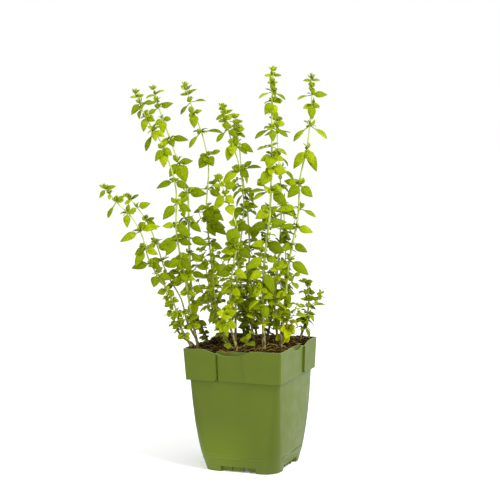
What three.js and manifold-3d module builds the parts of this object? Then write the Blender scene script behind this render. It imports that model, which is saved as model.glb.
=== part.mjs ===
// Potted oregano: a square nursery pot, its potting mix and the shoots that grow in it.
// Millimetres, +Z up, origin on the floor under the pot's centre, pot faces along X and Y.
import * as THREE from "three";
import Module from "manifold-3d";
import { mergeVertices } from "three/addons/utils/BufferGeometryUtils.js";

const wasm = await Module();
wasm.setup();

// ---------- driving dimensions ----------
const RIM_TOP = 129.4;
const RIM_HALF = 54;
const BAND_BOTTOM = 96.7;
const BAND_BOTTOM_HALF = 52.4;
const WALL = 1.6;
const CAVITY_FLOOR = 8;
const GAP = 0.3;

// Outside of the body under the band: height, half width, corner radius.
const BODY = [
  [0, 40.8, 16], [6, 42.1, 15.5], [12, 43.3, 14], [20, 44.4, 12],
  [32, 45.7, 10], [50, 47.2, 7], [72, 48.6, 5.5], [BAND_BOTTOM + 1, 49.7, 4],
];
const CORNER_STEPS = 4;

// Along one face of the band, measured from its middle towards the plain corner.
const STEP_AT = 17.6;
const STEP_DEPTH = 2;
const STEP_ROUNDING = 3.2;
const RAMP_END = 12.5;
const RAMP_END_DEPTH = 1.1;
const RAMP_LEAN = 4;
const RAMP_WIDTH = 2.5;
const LIP_TOP = RIM_TOP - 2.2;
const LIP_INSIDE = 46.9;
const SLOT_INSIDE = 48.2;
const SLOT_OUTSIDE = 49.2;
const SLOT_FLOOR = 108;
const LIP_FROM = -STEP_AT - 1.2;
const LIP_TO = RAMP_END + 5;

// The dip in the rim over the middle of each face: place along the face, height.
const DIP = [[-31, RIM_TOP], [-21.6, 126.6], [-11.8, 123.4], [-2, 123], [7.9, 124.2], [20, RIM_TOP]];

const RECESS_HALF = 19.5;
const RECESS_TOP = 6;
const RECESS_DEPTH = 5.5;
const PAD_RADIUS = 8;
const RIB = 1.6;
const MOULD_LINE_Z = 15.4;

const SOIL_EDGE = 124.6;
const SOIL_CROWN = 127.4;
const ROOT_Z = 112;
const SOCKET_CLEARANCE = 0.8;

// The shoots are laid out on axes turned about the pot's own by this much.
const PLANT_TURN = 22.15;

// ---------- colours ----------
const POT_GREEN = 0x6f8636;
const SOIL_BROWN = 0x3d2f1c;
const LEAF_GREEN = 0x8aa812;
const YOUNG_GREEN = 0xa9c41a;

// ---------- solids ----------
function solid(geometry) {
  geometry.deleteAttribute("normal");
  geometry.deleteAttribute("uv");
  const merged = mergeVertices(geometry, 1e-4);
  return new wasm.Manifold(new wasm.Mesh({
    numProp: 3,
    vertProperties: new Float32Array(merged.attributes.position.array),
    triVerts: new Uint32Array(merged.index.array),
  }));
}

function addMesh(group, name, body, color, roughness) {
  const { vertProperties, triVerts } = body.getMesh();
  const geometry = new THREE.BufferGeometry();
  geometry.setAttribute("position", new THREE.BufferAttribute(vertProperties, 3));
  geometry.setIndex(new THREE.BufferAttribute(triVerts, 1));
  geometry.computeVertexNormals();
  const material = new THREE.MeshStandardMaterial({ color, roughness, metalness: 0 });
  const mesh = new THREE.Mesh(geometry, material);
  mesh.name = name;
  group.add(mesh);
}

// A closed skin through rings of equal count; a ring of one point is a tip.
function loft(rings) {
  const positions = [];
  const index = [];
  const starts = [];
  for (const ring of rings) {
    starts.push(positions.length / 3);
    ring.forEach((p) => positions.push(p.x, p.y, p.z));
  }
  for (let k = 0; k + 1 < rings.length; k += 1) {
    const lower = starts[k];
    const upper = starts[k + 1];
    const count = rings[k].length;
    for (let i = 0; i < count; i += 1) {
      const j = (i + 1) % count;
      if (rings[k + 1].length === 1) {
        index.push(lower + i, lower + j, upper);
      } else {
        index.push(lower + i, lower + j, upper + j, lower + i, upper + j, upper + i);
      }
    }
  }
  const cap = (ring, start, up) => {
    if (ring.length === 1) return;
    const flat = ringPlane(ring);
    for (const [a, b, c] of THREE.ShapeUtils.triangulateShape(flat, [])) {
      index.push(start + a, start + (up ? b : c), start + (up ? c : b));
    }
  };
  cap(rings[0], starts[0], false);
  cap(rings.at(-1), starts.at(-1), true);
  const geometry = new THREE.BufferGeometry();
  geometry.setAttribute("position", new THREE.Float32BufferAttribute(positions, 3));
  geometry.setIndex(index);
  return solid(geometry);
}

// The ring's points in its own plane, turning anticlockwise.
function ringPlane(ring) {
  const normal = new THREE.Vector3();
  ring.forEach((p, i) => normal.add(new THREE.Vector3().crossVectors(p, ring[(i + 1) % ring.length])));
  normal.normalize();
  const side = new THREE.Vector3().subVectors(ring[1], ring[0]).normalize();
  const other = new THREE.Vector3().crossVectors(normal, side);
  return ring.map((p) => new THREE.Vector2(p.dot(side), p.dot(other)));
}

function roundedSquare(half, radius, z) {
  const ring = [];
  for (let corner = 0; corner < 4; corner += 1) {
    const middle = new THREE.Vector2(half - radius, half - radius).rotateAround(
      new THREE.Vector2(), (corner + 3) * Math.PI / 2);
    for (let i = 0; i <= CORNER_STEPS; i += 1) {
      const angle = (corner - 1 + i / CORNER_STEPS) * Math.PI / 2;
      ring.push(new THREE.Vector3(
        middle.x + radius * Math.cos(angle), middle.y + radius * Math.sin(angle), z));
    }
  }
  return ring;
}

function box(low, high) {
  const geometry = new THREE.BoxGeometry(high[0] - low[0], high[1] - low[1], high[2] - low[2]);
  geometry.translate((low[0] + high[0]) / 2, (low[1] + high[1]) / 2, (low[2] + high[2]) / 2);
  return solid(geometry);
}

function cylinder(x, y, radius, bottom, top, sides) {
  const geometry = new THREE.CylinderGeometry(radius, radius, top - bottom, sides);
  geometry.rotateX(Math.PI / 2);
  geometry.translate(x, y, (bottom + top) / 2);
  return solid(geometry);
}

// One feature of the front face, repeated on the other three. The proud blocks stand on
// two opposite corners, so the side faces are mirror images of the front and back.
function onEachFace(feature) {
  const side = feature.mirror([1, 1, 0]).rotate([0, 0, 180]);
  return [feature, side, feature.rotate([0, 0, 180]), side.rotate([0, 0, 180])];
}

function addAll(body, pieces) {
  return pieces.reduce((sum, piece) => sum.add(piece), body);
}

function subtractAll(body, pieces) {
  return pieces.reduce((rest, piece) => rest.subtract(piece), body);
}

// ---------- pot ----------
// The band's outline at one height over its bottom, as one face's points carried round the
// square. The blocks' lower corners are rounded.
function bandRing(rise) {
  const corner = 1.2;
  const height = RIM_TOP - BAND_BOTTOM;
  const half = BAND_BOTTOM_HALF + (RIM_HALF - BAND_BOTTOM_HALF) * rise / height;
  const low = Math.max(STEP_ROUNDING - rise, 0);
  const step = -STEP_AT - STEP_ROUNDING + Math.sqrt(STEP_ROUNDING ** 2 - low ** 2);
  const ramp = RAMP_END - RAMP_LEAN * rise / height;
  const face = [
    [-half + corner, 0], [step - 0.4, 0], [step, STEP_DEPTH],
    [ramp, RAMP_END_DEPTH], [ramp + RAMP_WIDTH, 0], [half - corner, 0],
  ];
  const ring = [];
  for (let side = 0; side < 4; side += 1) {
    const points = side % 2 ? face.map(([x, inset]) => [-x, inset]).reverse() : face;
    for (const [x, inset] of points) {
      const p = new THREE.Vector2(x, inset - half).rotateAround(new THREE.Vector2(), side * Math.PI / 2);
      ring.push(new THREE.Vector3(p.x, p.y, BAND_BOTTOM + rise));
    }
  }
  return ring;
}

// The room inside the pot, drawn in from its walls by a clearance. The lip behind each dip
// stands in it.
function cavity(clearance) {
  const wall = WALL + clearance;
  const lower = BODY.map(([z, half, radius]) => [z, half - wall, Math.max(radius - wall, 2)])
    .filter(([z]) => z > CAVITY_FLOOR)
    .map(([z, half, radius]) => roundedSquare(half, radius, z));
  lower.unshift(roundedSquare(42.5 - wall, 14 - clearance, CAVITY_FLOOR + clearance));
  const ledge = BAND_BOTTOM + WALL + clearance;
  const upper = [
    roundedSquare(BAND_BOTTOM_HALF - wall + 0.1, 2, ledge),
    roundedSquare(RIM_HALF - wall, 2, RIM_TOP + 2),
  ];
  const lowTop = roundedSquare(49.7 - wall, 2.4, ledge + 1);
  const lip = box(
    [LIP_FROM - clearance, -RIM_HALF, BAND_BOTTOM - 1 - clearance],
    [LIP_TO + clearance, -LIP_INSIDE + clearance, RIM_TOP + 5],
  );
  return subtractAll(loft([...lower, lowTop]).add(loft(upper)), onEachFace(lip));
}

function dipCutter() {
  const curve = new THREE.SplineCurve(DIP.map(([x, z]) => new THREE.Vector2(x, z)));
  const shape = new THREE.Shape([
    ...curve.getPoints(12),
    new THREE.Vector2(DIP.at(-1)[0], RIM_TOP + 3),
    new THREE.Vector2(DIP[0][0], RIM_TOP + 3),
  ]);
  const geometry = new THREE.ExtrudeGeometry(shape, { depth: 8, bevelEnabled: false, steps: 1 });
  geometry.rotateX(Math.PI / 2);
  geometry.translate(0, -SLOT_INSIDE, 0);
  return solid(geometry);
}

function buildPot() {
  const body = loft(BODY.map(([z, half, radius]) => roundedSquare(half, radius, z)));
  const band = loft([0, 0.4, 1.3, STEP_ROUNDING, RIM_TOP - BAND_BOTTOM].map(bandRing));
  const mouldLines = [[-32, 3], [12, 29]].flatMap(([from, to]) => onEachFace(
    box([from, -44.2, MOULD_LINE_Z - 0.3], [to, -43.4, MOULD_LINE_Z + 0.3])));
  let pot = addAll(body.add(band), mouldLines).subtract(cavity(0));

  const slot = box([LIP_FROM + 1.2, -SLOT_OUTSIDE, SLOT_FLOOR], [LIP_TO - 1.2, -SLOT_INSIDE, RIM_TOP + 1]);
  const lipTrim = box([LIP_FROM, -SLOT_OUTSIDE, LIP_TOP], [LIP_TO, -LIP_INSIDE + 1, RIM_TOP + 1]);
  pot = subtractAll(pot, onEachFace(slot));
  pot = subtractAll(pot, onEachFace(lipTrim));
  pot = subtractAll(pot, onEachFace(dipCutter()));

  const underFloor = loft([roundedSquare(36.5, 13, -1), roundedSquare(37.5, 13, RECESS_TOP)]);
  const mouth = box([-RECESS_HALF, -44, -1], [RECESS_HALF, -41 + RECESS_DEPTH, RECESS_TOP]);
  const drain = box([-RECESS_HALF + 2, -36, 4], [-4, -27, CAVITY_FLOOR + 1]);
  const drainRight = box([4, -36, 4], [RECESS_HALF - 2, -27, CAVITY_FLOOR + 1]);
  pot = subtractAll(pot.subtract(underFloor), onEachFace(mouth));
  pot = subtractAll(pot, [...onEachFace(drain), ...onEachFace(drainRight)]);

  // Under the floor: a pad in the middle, ribs out to the corner feet, set-back drain panels.
  const pad = cylinder(0, 0, PAD_RADIUS, 0, RECESS_TOP + 1, 16);
  const rib = box([-RIB / 2, -50, 1.2], [RIB / 2, 0, RECESS_TOP + 1]).rotate([0, 0, 45]);
  const panel = box([-RECESS_HALF - 1, -37.6, 0.8], [RECESS_HALF + 1, -36, RECESS_TOP + 1]);
  const notchSide = (y) => [[4.7, -1], [10.2, -1], [8.6, 5.4], [5.6, 5.4]].map(
    ([x, z]) => new THREE.Vector3(x, y, z));
  const notch = loft([notchSide(-35), notchSide(-39)]);
  const panelRib = box([-9.3, -39.2, 0.8], [-7.9, -37, RECESS_TOP + 1]);
  const ribs = [0, 1, 2, 3].map((k) => rib.rotate([0, 0, 90 * k]).intersect(body));
  const panels = onEachFace(panel.subtract(notch).add(panelRib)).map((piece) => piece.intersect(body));
  return addAll(pot, [pad, ...ribs, ...panels]);
}

// ---------- shoots ----------
// radius: of the green stem; foot: where it leaves the mix; path: on upwards to the tip;
// pairs: heights of the leaf pairs from the tip down; turn: way the top pair points, degrees.
const SHOOTS = {
  far_left_shoot: {
    radius: 1, foot: [-62, -26], turn: 40, size: 1,
    path: [[-72, -24, 150], [-77, -26, 171], [-87, -28, 194], [-102, -31, 220], [-109, -33, 247],
      [-118, -35, 265], [-133, -37, 281], [-146, -38, 298]],
    pairs: [301, 295, 290, 282, 271, 251, 234, 218, 207, 195, 183, 169, 156],
  },
  left_inner_shoot: {
    radius: 0.9, foot: [-55, -9], turn: 20, size: 0.9,
    path: [[-66, -6, 153], [-72, -4, 177], [-87, -2, 205], [-97, 0, 236], [-107, 2, 260], [-126, 4, 286]],
    pairs: [288, 281, 273, 259, 235, 217, 203, 192, 177, 164, 149],
  },
  left_tall_shoot: {
    radius: 1.1, foot: [-55, -26], turn: 10, size: 1,
    path: [[-61, -25, 163], [-66, -26, 200], [-74, -27, 247], [-74, -28, 296], [-87, -29, 340],
      [-102, -30, 366], [-112, -30, 393]],
    pairs: [394, 387, 381, 375, 367, 353, 335, 301, 279, 257, 242, 223, 204, 187, 171, 154],
  },
  left_tall_rear_shoot: {
    radius: 1.1, foot: [-46, 2], turn: 70, size: 1.05,
    path: [[-59, 4, 164], [-62, 5, 196], [-63, 7, 242], [-64, 9, 290], [-78, 11, 336], [-92, 13, 378],
      [-97, 14, 397]],
    pairs: [396, 389, 383, 376, 364, 344, 319, 287, 258, 240, 223, 203, 185, 168, 153],
  },
  slender_shoot: {
    radius: 1, foot: [-32, 30], turn: 100, size: 0.95,
    path: [[-38, 31, 171], [-41, 34, 213], [-45, 38, 267], [-42, 41, 314], [-48, 43, 347], [-57, 45, 372],
      [-65, 46, 400]],
    pairs: [399, 394, 389, 381, 370, 350, 324, 289, 270, 254, 231, 210, 190, 171, 153],
  },
  centre_left_shoot: {
    radius: 1, foot: [-16, -10], turn: 30, size: 0.95,
    path: [[-15, -11, 176], [-10, -12, 228], [-5, -13, 275], [-8, -14, 311], [-19, -14, 350],
      [-25, -14, 377]],
    pairs: [376, 372, 368, 362, 353, 338, 311, 290, 273, 255, 234, 216, 196, 176, 158],
  },
  centre_rear_shoot: {
    radius: 1, foot: [-4, 26], turn: 120, size: 0.9,
    path: [[-4, 27, 171], [0, 29, 224], [-2, 31, 272], [-7, 33, 309], [-9, 33, 336], [-14, 34, 366]],
    pairs: [367, 363, 357, 352, 347, 337, 309, 285, 264, 244, 225, 205, 183, 163, 148],
  },
  tallest_shoot: {
    radius: 1.3, foot: [13, -27], turn: 0, size: 1,
    path: [[13, -27, 147], [13, -28, 178], [15, -30, 217], [21, -31, 263], [24, -32, 315], [25, -33, 363],
      [27, -33, 413]],
    pairs: [413, 406, 399, 390, 380, 369, 354, 335, 313, 291, 271, 257, 238, 223, 209, 192, 175, 154],
  },
  tallest_rear_shoot: {
    radius: 0.9, foot: [17, 6], turn: 60, size: 0.95,
    path: [[25, 5, 173], [31, 3, 226], [34, 1, 273], [33, -1, 304], [31, -3, 335], [30, -4, 364]],
    pairs: [364, 360, 354, 347, 325, 310, 291, 273, 253, 233, 213, 192, 171, 153],
  },
  right_tall_shoot: {
    radius: 1.2, foot: [31, -14], turn: 90, size: 1.05,
    path: [[32, -13, 144], [36, -10, 175], [42, -6, 220], [51, -2, 260], [54, 0, 301], [62, 1, 335],
      [67, 2, 382], [67, 2, 406]],
    pairs: [407, 401, 394, 386, 376, 355, 330, 294, 270, 250, 233, 216, 200, 183, 167, 152],
  },
  front_centre_shoot: {
    radius: 1, foot: [-15, -36], turn: 5, size: 1.05,
    path: [[-21, -38, 154], [-21, -42, 181], [-17, -46, 214], [-11, -49, 244], [-14, -50, 261],
      [-22, -51, 285], [-30, -52, 307]],
    pairs: [305, 297, 288, 279, 257, 233, 213, 193, 174],
  },
  right_rear_shoot: {
    radius: 0.8, foot: [38, 14], turn: 15, size: 0.75,
    path: [[38, 16, 160], [38, 20, 192], [38, 25, 234], [37, 26, 261], [35, 26, 282], [33, 26, 305]],
    pairs: [305, 298, 289, 278, 262, 244, 224, 205, 186],
  },
  right_bushy_shoot: {
    radius: 0.9, foot: [53, 24], turn: 35, size: 0.75,
    path: [[58, 27, 144], [62, 30, 163], [62, 32, 181], [57, 32, 190]],
    pairs: [189, 183, 177, 168, 162, 155, 148, 140],
  },
  centre_left_sprig: {
    radius: 0.8, foot: [-27, -8], turn: 50, size: 0.65,
    path: [[-31, -9, 139], [-35, -10, 164], [-38, -12, 198], [-38, -12, 229]],
    pairs: [228, 221, 214, 204, 191, 179, 166, 154, 144],
  },
  centre_rear_sprig: {
    radius: 0.9, foot: [-8, 40], turn: 0, size: 0.8,
    path: [[-7, 46, 144], [-8, 48, 168], [-12, 52, 202], [-17, 54, 230]],
    pairs: [229, 223, 214, 203, 190, 176, 163, 152],
  },
  centre_right_sprig: {
    radius: 0.9, foot: [3, -6], turn: 75, size: 0.85,
    path: [[1, -4, 148], [1, 0, 174], [5, 3, 199], [13, 6, 226]],
    pairs: [226, 219, 209, 198, 186, 173, 161, 150],
  },
  low_left_sprig: {
    radius: 0.8, foot: [-59, -19], turn: 25, size: 0.55,
    path: [[-73, -11, 140], [-80, -10, 156], [-85, -9, 177], [-90, -8, 195]],
    pairs: [194, 186, 178, 170, 160, 151],
  },
  low_centre_sprig: {
    radius: 0.8, foot: [-22, -24], turn: 0, size: 0.8,
    path: [[-27, -32, 142], [-26, -40, 158], [-22, -46, 174]],
    pairs: [173, 166, 158, 148],
  },
  low_right_sprig: {
    radius: 0.8, foot: [25, -4], turn: 65, size: 0.75,
    path: [[32, -5, 137], [39, -10, 145], [43, -15, 153]],
    pairs: [152, 146, 139],
  },
  rear_left_sprig: {
    radius: 0.9, foot: [-30, 44], turn: 45, size: 0.8,
    path: [[-45, 54, 151], [-51, 60, 178], [-58, 66, 208]],
    pairs: [207, 199, 190, 178, 165, 152],
  },
  rear_right_sprig: {
    radius: 0.9, foot: [28, 36], turn: 20, size: 0.8,
    path: [[26, 46, 162], [29, 52, 188], [28, 58, 218]],
    pairs: [217, 210, 199, 187, 175, 162, 151],
  },
  rear_sprig: {
    radius: 0.9, foot: [6, 44], turn: 80, size: 0.8,
    path: [[2, 62, 155], [4, 68, 181], [3, 74, 206]],
    pairs: [205, 197, 188, 176, 163, 151],
  },
};
// Oregano stems are square.
const STEM_SIDES = 4;
const STEM_STEP = 18;
const TIP_MARGIN = 2.5;
const WOODY_EXTRA = 0.6;
const LEAF_THICKNESS = 0.7;
const SHORT_LEAF = 14;
const LEAF_GAP = 0.3;
const TURNS_TO_TRY = [0, 18, -18, 36, -36, 54, -54];

function stemCurve({ foot, path }) {
  const [x, y] = foot;
  return new THREE.CatmullRomCurve3([
    new THREE.Vector3(x, y, ROOT_Z), new THREE.Vector3(x, y, SOIL_CROWN - 3),
    new THREE.Vector3(x, y, SOIL_CROWN + 3),
    ...path.map((p) => new THREE.Vector3(...p)),
  ], false, "centripetal");
}

function tube(curve, radius, steps) {
  const section = new THREE.Shape();
  for (let i = 0; i < STEM_SIDES; i += 1) {
    const angle = i * 2 * Math.PI / STEM_SIDES;
    const [x, y] = [radius * Math.cos(angle), radius * Math.sin(angle)];
    if (i === 0) section.moveTo(x, y);
    else section.lineTo(x, y);
  }
  section.closePath();
  return solid(new THREE.ExtrudeGeometry(section, { extrudePath: curve, steps, bevelEnabled: false }));
}

function buildStem(shoot, curve) {
  const woody = new THREE.LineCurve3(
    new THREE.Vector3(...shoot.foot, ROOT_Z), new THREE.Vector3(...shoot.foot, SOIL_CROWN + 1));
  const steps = Math.max(6, Math.round(curve.getLength() / STEM_STEP));
  return tube(curve, shoot.radius, steps).add(tube(woody, shoot.radius + WOODY_EXTRA, 1));
}

// The stem's point at one height, found along its rising curve, and never quite at its tip.
function stemPoint(curve, z) {
  let [low, high] = [0, 1 - TIP_MARGIN / curve.getLength()];
  for (let k = 0; k < 24; k += 1) {
    const middle = (low + high) / 2;
    if (curve.getPointAt(middle).z < z) low = middle;
    else high = middle;
  }
  return curve.getPointAt(low);
}

// Leaves grow from buds at the tip to full size, and are a little smaller again low down.
function leafLength(rank, size) {
  return size * Math.min(5 + 3.4 * rank, 21, 30 - rank);
}

function buildLeaf(root, heading, rank, length) {
  const width = length * (rank < 3 ? 0.4 : 0.52);
  const outward = new THREE.Vector3(Math.cos(heading), Math.sin(heading), 0);
  const across = new THREE.Vector3(-outward.y, outward.x, 0);
  const lift = THREE.MathUtils.degToRad(Math.max(55 - 18 * rank, 8));
  const droop = THREE.MathUtils.degToRad(Math.min(15 * rank, 62));
  const sections = [[0, 1.1], [0.5, width], [1, 0]];
  if (length > SHORT_LEAF) sections.splice(2, 0, [0.78, 0.66 * width]);
  let along = 0;
  const at = root.clone();
  const rings = sections.map(([t, wide]) => {
    const angle = lift - droop * (along + t) / 2;
    const forward = outward.clone().multiplyScalar(Math.cos(angle)).setZ(Math.sin(angle));
    at.addScaledVector(forward, (t - along) * length);
    along = t;
    if (wide === 0) return [at.clone()];
    const up = new THREE.Vector3().crossVectors(forward, across).multiplyScalar(LEAF_THICKNESS);
    const half = across.clone().multiplyScalar(wide / 2);
    return [at.clone().add(half), at.clone().add(up), at.clone().sub(half)];
  });
  return loft(rings);
}

function boxesNear(a, b) {
  return [0, 1, 2].every((k) => a.min[k] - LEAF_GAP < b.max[k] && b.min[k] - LEAF_GAP < a.max[k]);
}

function isClear(piece, others) {
  const bounds = piece.boundingBox();
  return others.every((other) => !boxesNear(bounds, other.bounds)
    || piece.minGap(other.body, LEAF_GAP) >= LEAF_GAP);
}

// A leaf that would touch something else is turned about its stem until it is clear, or left out.
function growLeaves(name, grown, fixed) {
  const shoot = SHOOTS[name];
  const own = grown[name];
  const elsewhere = fixed.concat(...Object.keys(grown).filter((key) => key !== name)
    .map((key) => grown[key].parts));
  shoot.pairs.forEach((height, rank) => {
    const root = stemPoint(own.curve, height);
    const length = leafLength(rank, shoot.size);
    for (const side of [0, 180]) {
      for (const extra of TURNS_TO_TRY) {
        const heading = THREE.MathUtils.degToRad(shoot.turn + 90 * rank + side + extra);
        const leaf = buildLeaf(root, heading, rank, length);
        const others = elsewhere.concat(own.parts.filter((part) => part.rank > 0 && part.rank < rank));
        if (isClear(leaf, others)) {
          own.parts.push({ body: leaf, bounds: leaf.boundingBox(), rank });
          break;
        }
      }
    }
  });
}

// ---------- assembly ----------
const part = new THREE.Group();
const turned = (body) => body.rotate([0, 0, -PLANT_TURN]);

const pot = buildPot();
addMesh(part, "pot", pot, POT_GREEN, 0.55);

const soilTop = loft([
  roundedSquare(RIM_HALF + 1, 2, CAVITY_FLOOR - 1), roundedSquare(RIM_HALF + 1, 2, SOIL_EDGE),
  roundedSquare(36, 12, SOIL_EDGE + 1.6), roundedSquare(14, 8, SOIL_CROWN),
]);
const grown = {};
for (const [name, shoot] of Object.entries(SHOOTS)) {
  const curve = stemCurve(shoot);
  const body = buildStem(shoot, curve);
  grown[name] = { curve, parts: [{ body, bounds: body.boundingBox(), rank: 0 }] };
}
const sockets = Object.values(SHOOTS).map(({ foot, radius }) => cylinder(
  ...foot, radius + WOODY_EXTRA + SOCKET_CLEARANCE, ROOT_Z - GAP, RIM_TOP, 6));
const mix = subtractAll(
  cavity(GAP).intersect(soilTop), sockets.map((socket) => socket.rotate([0, 0, PLANT_TURN])));
addMesh(part, "potting_mix", mix, SOIL_BROWN, 0.95);

const fixed = [turned(pot), turned(mix)].map((body) => ({ body, bounds: body.boundingBox(), rank: 0 }));
const plant = new THREE.Group();
plant.rotation.z = THREE.MathUtils.degToRad(PLANT_TURN);
for (const name of Object.keys(SHOOTS)) growLeaves(name, grown, fixed);
for (const [name, { parts }] of Object.entries(grown)) {
  const colour = SHOOTS[name].pairs.length < 9 ? YOUNG_GREEN : LEAF_GREEN;
  addMesh(plant, name, wasm.Manifold.union(parts.map(({ body }) => body)), colour, 0.6);
}
part.add(plant);

export default part;
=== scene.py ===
"""Potted oregano: the looks of the pot, the potting mix and every shoot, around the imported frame."""
import math
import random
from typing import NamedTuple

import bmesh
import bpy
from bpy.props import FloatProperty, FloatVectorProperty, IntProperty, PointerProperty
from mathutils import Matrix, Vector


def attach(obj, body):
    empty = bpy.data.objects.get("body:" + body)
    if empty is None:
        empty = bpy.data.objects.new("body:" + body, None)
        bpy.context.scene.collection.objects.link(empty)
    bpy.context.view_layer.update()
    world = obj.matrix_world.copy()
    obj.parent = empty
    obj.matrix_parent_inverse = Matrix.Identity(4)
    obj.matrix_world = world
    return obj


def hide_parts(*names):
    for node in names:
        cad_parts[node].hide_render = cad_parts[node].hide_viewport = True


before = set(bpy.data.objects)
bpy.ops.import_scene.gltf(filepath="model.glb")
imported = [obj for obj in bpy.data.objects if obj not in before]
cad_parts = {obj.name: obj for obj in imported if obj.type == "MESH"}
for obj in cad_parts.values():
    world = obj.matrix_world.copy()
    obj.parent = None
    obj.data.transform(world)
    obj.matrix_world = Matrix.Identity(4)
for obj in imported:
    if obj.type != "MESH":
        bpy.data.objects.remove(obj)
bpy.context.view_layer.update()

bl_info = {
    "name": "Potted oregano",
    "version": (1, 0, 0),
    "blender": (4, 5, 0),
    "location": "3D View > Sidebar > Oregano",
    "description": "Builds a potted oregano: moulded pot, potting mix, fibres and leafy shoots",
    "category": "Add Mesh",
}

MM = 0.001

# ---------- sizes, in millimetres ----------
# The shoots are laid out on axes turned about the pot's own by this much.
PLANT_TURN = math.radians(22.15)
PLANT_MIDDLE = (-12, 8, 0)
UP = Vector((0, 0, 1))
GOLDEN_ANGLE = math.radians(137.5)
STEM_STEP = 5

# Heights: where stems start inside the mix, the mix round them, the lowest sprouts, and the tops of
# the low storey, the dense branching, the shade and all branching.
ROOT_Z = 112
SOIL_CROWN = 127.4
SPROUTS_FROM = 132
LOW_STOREY = 205
DENSE_TOP = 215
SHADE_TOP = 260
BRANCHING_TOP = 300

# Heights over which stems turn from wood to green, and branches get fewer and shorter.
WOOD_FADES = (135, 175)
BRANCHES_FADE = (170, 250)

# How far under the very tip of a stem its top pair hangs.
TIP_MARGIN = 2.5

# The potting mix: half its width at the top, its height at the near walls and in the middle, how
# much higher it is heaped against the two far walls, how many steps its surface has, the heights
# and half widths of its block from the top down, and the angle under which its edges are smooth.
MIX_HALF = 51.7
MIX_EDGE = 125.8
MIX_CROWN = 127.6
MIX_HEAP = 3.4
MIX_STEPS = 80
MIX_BLOCK = ((98.6, 50.2), (98, 45.5), (40, 42), (9, 34))
MIX_SMOOTH_UNDER = math.radians(50)

# Crumbs and coir lie on the mix above this height, and stay this far from its edge.
STREWN_OVER = 120
CRUMBS_FROM_EDGE = 6
COIR_FROM_EDGE = 3

# The corners of a ball of twelve that are pushed in to make a crumb of bark.
BLUNTED_CORNERS = (0, 3, 7, 9)

# The room the mix leaves for the lips inside the rim: its size, and where it starts.
LIP_ROOM = (38, 12, 40)
LIP_MIDDLE = -0.65
LIP_INSIDE = 46.9 - 0.4
LIP_TOP = 127.2 + 0.3

# The pot's band: its heights and half widths at its bottom and top, the step from each proud block
# down to the recess beside it, and the gap along the foot of the step. The rim starts a little
# under the top.
BAND_BOTTOM = 96.7
BAND_TOP = 129.4
BAND_BOTTOM_HALF = 52.4
BAND_TOP_HALF = 54
BAND_FLARE = (BAND_TOP_HALF - BAND_BOTTOM_HALF) / (BAND_TOP - BAND_BOTTOM)
RIM_FROM = 122
STEP_AT = 17.6
STEP_DEPTH = 2
GAP_WIDTH = 1.1
GAP_DEPTH = 1
GAP_TOP = 123.5

# Height of the thin lines moulded round the foot of the pot, and how far they reach up and down.
MOULD_LINE = 15.4
MOULD_REACH = 0.8

# The pot's edges are rounded over the first angle and smooth under the second; on the flat-sided
# band they are crisp over the third.
ROUND_OVER = math.radians(40)
SMOOTH_UNDER = math.radians(38)
CRISP_OVER = math.radians(8)

# The camera, on the shoots' axes, and the lens that shows the pot at its right size.
CAMERA_PLACE = (0.59, -1472.07, 379.19)
CAMERA_DOWN = math.radians(5.91)
CAMERA_ROLL = math.radians(-1.03)
FOCAL_PIXELS = 1421.34
FRAME_PIXELS = 500
SENSOR = 36

# The round floor, in metres.
FLOOR_RADIUS = 8
FLOOR_DEPTH = 0.02

# The height, in millimetres, at which the lamps are aimed.
LAMPS_AIM = 180


class Shoot(NamedTuple):
    """What sets one shoot apart, in millimetres and degrees."""
    foot: tuple            # where it leaves the mix
    turn: float            # the way its top pair of leaves points
    path: list             # on from its foot to its tip
    pairs: list            # heights of its leaf pairs, from the tip down
    seen: dict = {}        # at a pair's height, the leaves in its stead, each as its reach across, up
    #                        and towards the camera, and the width it shows
    radius: float = 0.9    # of its green stem
    size: float = 0.8      # of its leaves
    bushy: float = 1       # how likely it branches
    forks: int = 0         # how many stems branch off at the mix
    arms: tuple = ()       # branches in the shade, as (height, heading, length)
    sprouts: bool = False  # whether small leaves grow down to the mix
    bark: float = 0.2      # how pale its woody foot is
    tint: float = 0        # how much brighter than the other shoots' its leaves are


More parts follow.
